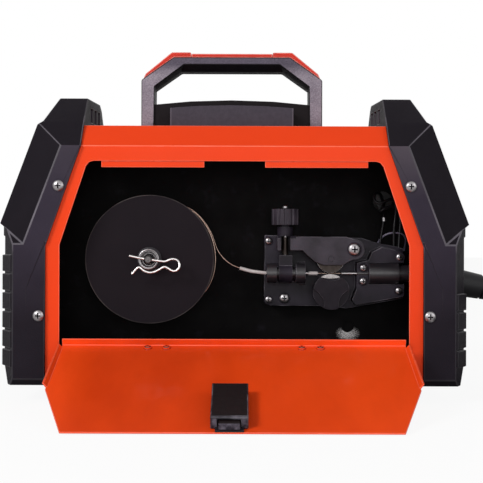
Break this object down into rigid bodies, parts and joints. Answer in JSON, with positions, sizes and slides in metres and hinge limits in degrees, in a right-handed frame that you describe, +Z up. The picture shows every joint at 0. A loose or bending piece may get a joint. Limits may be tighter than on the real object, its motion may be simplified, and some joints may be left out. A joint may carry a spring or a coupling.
{
  "type": "mig welding machine",
  "caption": "Compact inverter MIG welder with an open side door, wire spool, roller feeder, arched carrying handle and a coiled torch lead.",
  "frame": {"origin": "on the floor, under the middle of the machine with its door open (the torch and its lead left out)", "axes": "+X to the machine's front (torch end), -Y to the side with the wire door, +Z up"},
  "size_m": [0.7348, 0.3033, 0.277],
  "materials": {
    "armour_plastic": "satin",
    "zinc_steel": "satin",
    "orange_paint": "gloss",
    "black_paint": "satin",
    "rubber": "matte",
    "black_plastic": "satin",
    "copper_wire": "satin",
    "brass": "satin",
    "pale_liner": "satin",
    "cable_rubber": "matte",
    "board_green": "satin",
    "aluminium": "satin",
    "display_glass": "gloss",
    "red_plastic": "gloss",
    "grey_plastic": "satin",
    "copper": "satin"
  },
  "bodies": {
    "root": {"front_frame": "armour_plastic", "rear_frame": "armour_plastic", "frame_screws": "zinc_steel", "side_cover": "orange_paint", "base_tray": "black_paint", "partition": "black_paint", "rubber_feet": "rubber", "body_screws": "zinc_steel", "hinge_leaves": "black_paint", "spool_spindle": "black_plastic", "spindle_bolt": "zinc_steel", "spring_clip": "zinc_steel", "feeder_body": "black_plastic", "feeder_screws": "zinc_steel", "wire_guides": "black_plastic", "guide_tips": "brass", "wire_liner": "pale_liner", "welding_wire": "copper_wire", "feed_motor": "zinc_steel", "feeder_cables": "cable_rubber", "circuit_boards": "board_green", "board_parts": "aluminium", "fan_frame": "black_plastic", "front_panel": "black_plastic", "rear_panel": "black_plastic", "display_window": "display_glass", "output_sockets": "brass", "cord_gland": "black_plastic", "gas_inlet": "brass", "handle_body": "armour_plastic", "handle_strip": "red_plastic", "handle_plinth": "grey_plastic", "torch_gland": "rubber", "torch_lead": "cable_rubber", "torch_coil": "cable_rubber", "torch_handle": "black_plastic", "torch_neck": "black_paint", "torch_nozzle": "copper"},
    "door": {"door_panel": "orange_paint", "door_hinge_leaves": "black_paint", "latch_housing": "black_plastic"},
    "latch": {"latch_bolt": "black_plastic"},
    "spool": {"wire_spool": "black_plastic", "wire_winding": "copper_wire"},
    "drive": {"drive_roller": "zinc_steel", "drive_shaft": "zinc_steel", "roller_cap": "black_plastic"},
    "pressure_lever": {"pressure_arm": "black_plastic"},
    "pressure_wheel": {"pressure_roller": "zinc_steel"},
    "tension_arm": {"tension_sleeve": "black_plastic", "tension_rod": "zinc_steel"},
    "tension_cup": {"spring_cup": "black_plastic"},
    "tension_nut": {"tension_knob": "black_plastic"},
    "fan": {"fan_rotor": "black_plastic"},
    "voltage_dial": {"voltage_knob": "black_plastic"},
    "current_dial": {"current_knob": "black_plastic"},
    "mode_key": {"mode_button": "black_plastic"},
    "rocker_switch": {"power_switch": "black_plastic"},
    "trigger": {"torch_trigger": "red_plastic"}
  },
  "joints": [
    {"name": "door_hinge", "type": "hinge", "parent": "root", "child": "door", "pos_m": [0, -0.0149, 0.0415], "axis": [1, 0, 0], "range_deg": [-107.8, 0]},
    {"name": "latch_slide", "type": "slide", "parent": "door", "child": "latch", "axis": [0, 0.9521, 0.3057], "range_m": [-0.005, 0]},
    {"name": "spool_spin", "type": "hinge", "parent": "root", "child": "spool", "pos_m": [-0.066, 0.032, 0.1084], "axis": [0, 1, 0], "continuous": true},
    {"name": "drive_roller_spin", "type": "hinge", "parent": "root", "child": "drive", "pos_m": [0.0759, 0.0325, 0.08338], "axis": [0, 1, 0], "continuous": true},
    {"name": "pressure_arm_lift", "type": "hinge", "parent": "root", "child": "pressure_lever", "pos_m": [0.0943, 0.0325, 0.1164], "axis": [0, 1, 0], "range_deg": [0, 4], "stiffness_Nm_per_rad": 2, "springref_deg": -5.73},
    {"name": "pressure_roller_spin", "type": "hinge", "parent": "pressure_lever", "child": "pressure_wheel", "pos_m": [0.0759, 0.0325, 0.10872], "axis": [0, 1, 0], "continuous": true},
    {"name": "tension_arm_swing", "type": "hinge", "parent": "root", "child": "tension_arm", "pos_m": [0.04, 0.0325, 0.0973], "axis": [1, 0, 0], "range_deg": [0, 90]},
    {"name": "tension_cup_slide", "type": "slide", "parent": "tension_arm", "child": "tension_cup", "axis": [0, 0, 1], "range_m": [0, 0.0044]},
    {"name": "tension_knob_turn", "type": "hinge", "parent": "tension_arm", "child": "tension_nut", "pos_m": [0.04, 0.0325, 0.142], "axis": [0, 0, 1], "range_deg": [-180, 180]},
    {"name": "fan_spin", "type": "hinge", "parent": "root", "child": "fan", "pos_m": [-0.1411, 0.1031, 0.066], "axis": [1, 0, 0], "continuous": true},
    {"name": "voltage_knob_turn", "type": "hinge", "parent": "root", "child": "voltage_dial", "pos_m": [0.14634, 0.0325, 0.14714], "axis": [0.9285, 0, 0.3714], "range_deg": [-135, 135]},
    {"name": "current_knob_turn", "type": "hinge", "parent": "root", "child": "current_dial", "pos_m": [0.14634, 0.1015, 0.14714], "axis": [0.9285, 0, 0.3714], "range_deg": [-135, 135]},
    {"name": "mode_button_press", "type": "slide", "parent": "root", "child": "mode_key", "axis": [-0.9285, 0, -0.3714], "range_m": [0, 0.002], "stiffness_N_per_m": 500, "springref_m": -0.001},
    {"name": "power_switch_rock", "type": "hinge", "parent": "root", "child": "rocker_switch", "pos_m": [-0.13929, 0.067, 0.1594], "axis": [0, 1, 0], "range_deg": [0, 12.6]},
    {"name": "torch_trigger_pull", "type": "hinge", "parent": "root", "child": "trigger", "pos_m": [0.431, 0.09, 0.016], "axis": [0, 0, -1], "range_deg": [0, 6.5], "stiffness_Nm_per_rad": 0.5, "springref_deg": -8.59}
  ],
  "couplings": [
    {"joint": "drive_roller_spin", "follows": "spool_spin", "ratio": 3.4074},
    {"joint": "pressure_roller_spin", "follows": "spool_spin", "ratio": -4.1818},
    {"joint": "tension_cup_slide", "follows": "pressure_arm_lift", "m_per_rad": 0.0625}
  ]
}
